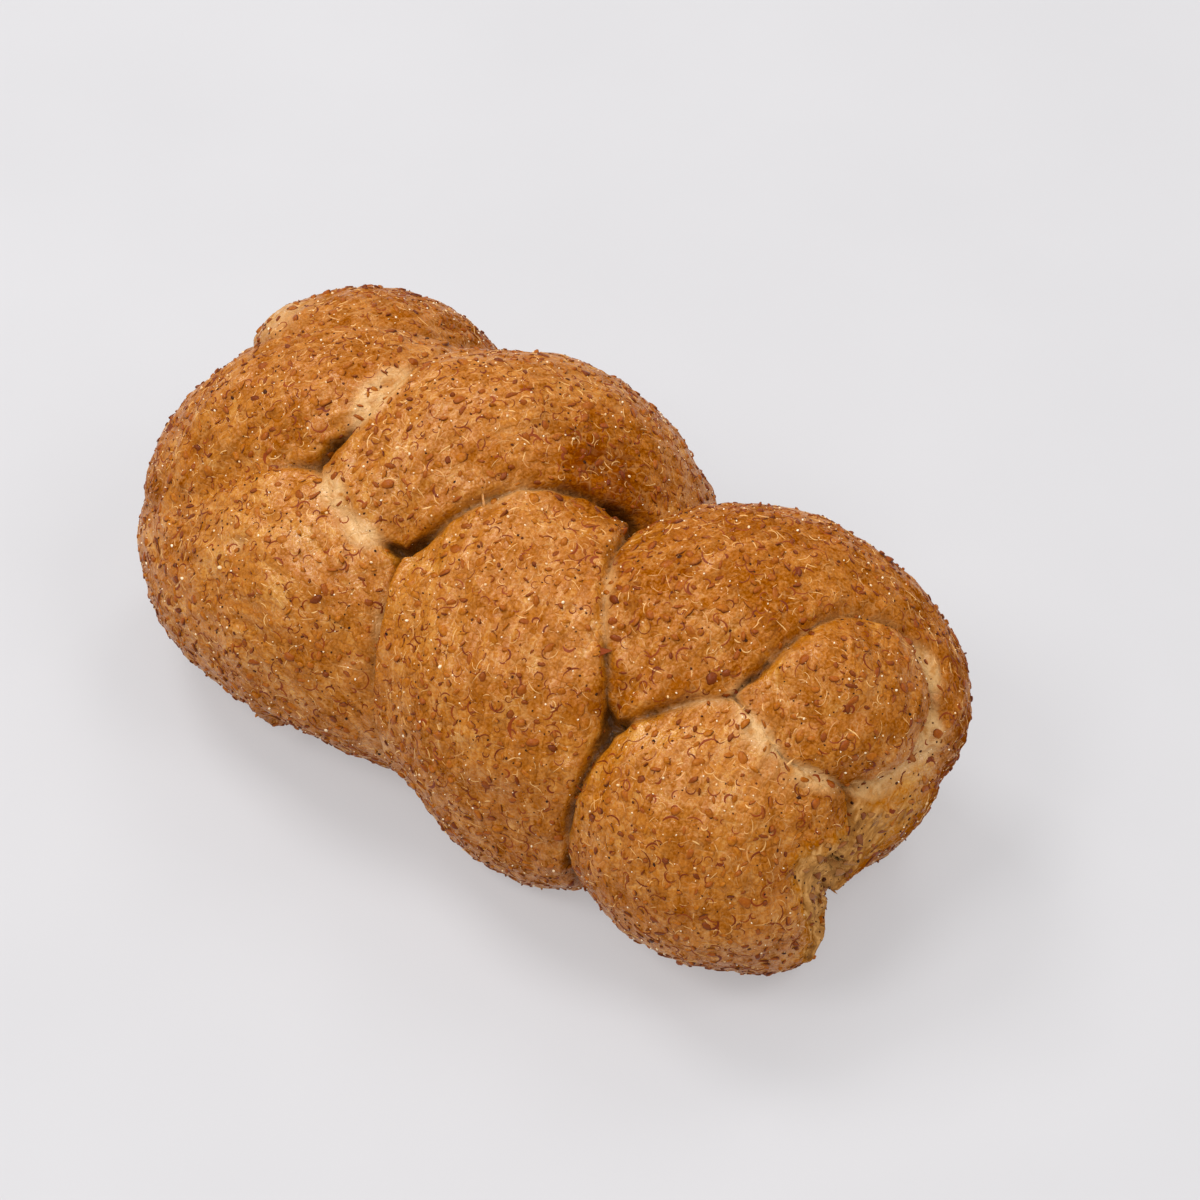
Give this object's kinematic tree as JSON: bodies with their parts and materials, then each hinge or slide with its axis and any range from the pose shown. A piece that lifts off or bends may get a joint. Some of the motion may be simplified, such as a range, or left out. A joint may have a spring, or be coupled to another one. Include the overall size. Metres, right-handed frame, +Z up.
{
  "type": "plaited roll",
  "caption": "Plaited wholemeal roll: fat twists of dough baked into one piece, a looped end with the strand's tip standing in it, bran flakes over a satin brown crust.",
  "frame": {"origin": "on the flat base, under the middle of the roll's outline", "axes": "+X along the roll, towards the looped end; +Y across it, towards the back; +Z up"},
  "size_m": [0.132, 0.0712, 0.056],
  "materials": {
    "crust": "baked crust, satin golden brown with darker bran flakes and pale cream creases"
  },
  "bodies": {
    "root": {"plaited_roll": "crust"}
  },
  "joints": []
}
